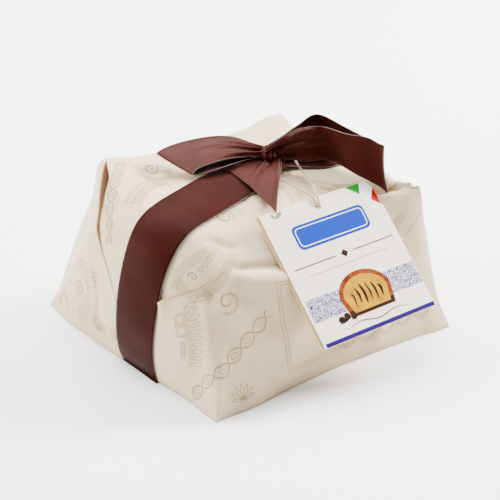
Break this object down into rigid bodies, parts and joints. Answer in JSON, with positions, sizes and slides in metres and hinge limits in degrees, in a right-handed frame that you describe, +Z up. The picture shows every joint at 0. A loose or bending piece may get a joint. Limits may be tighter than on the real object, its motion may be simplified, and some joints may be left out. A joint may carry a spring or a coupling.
{
  "type": "gift-wrapped panettone",
  "caption": "Domed sweet loaf wrapped by hand in stiff printed paper with pointed corners, tied with a satin ribbon and bow, with a folded card tag on a string.",
  "frame": {"origin": "middle of the flat base, on the surface that the parcel stands on", "axes": "+Z up, -Y out of the long face that the tag hangs over, -X out of the end face at the ribbon's near side"},
  "size_m": [0.2281, 0.2376, 0.1479],
  "materials": {
    "crust": "matte",
    "baking_paper": "matte",
    "clear_film": "gloss",
    "tie_band": "gloss",
    "wrapping_paper": "satin",
    "satin_ribbon": "satin",
    "tag_card": "satin",
    "twine": "matte"
  },
  "bodies": {
    "root": {"panettone_loaf": "crust", "baking_case": "baking_paper", "food_bag": "clear_film", "bag_tie": "tie_band", "wrapping_paper": "wrapping_paper", "ribbon_band": "satin_ribbon", "bow_knot": "satin_ribbon", "bow_loop_left": "satin_ribbon", "bow_loop_right": "satin_ribbon", "bow_tail_front": "satin_ribbon", "bow_tail_back": "satin_ribbon", "tag_front_leaf": "tag_card", "tag_back_leaf": "tag_card", "tag_string": "twine", "string_knot": "twine"}
  },
  "joints": []
}
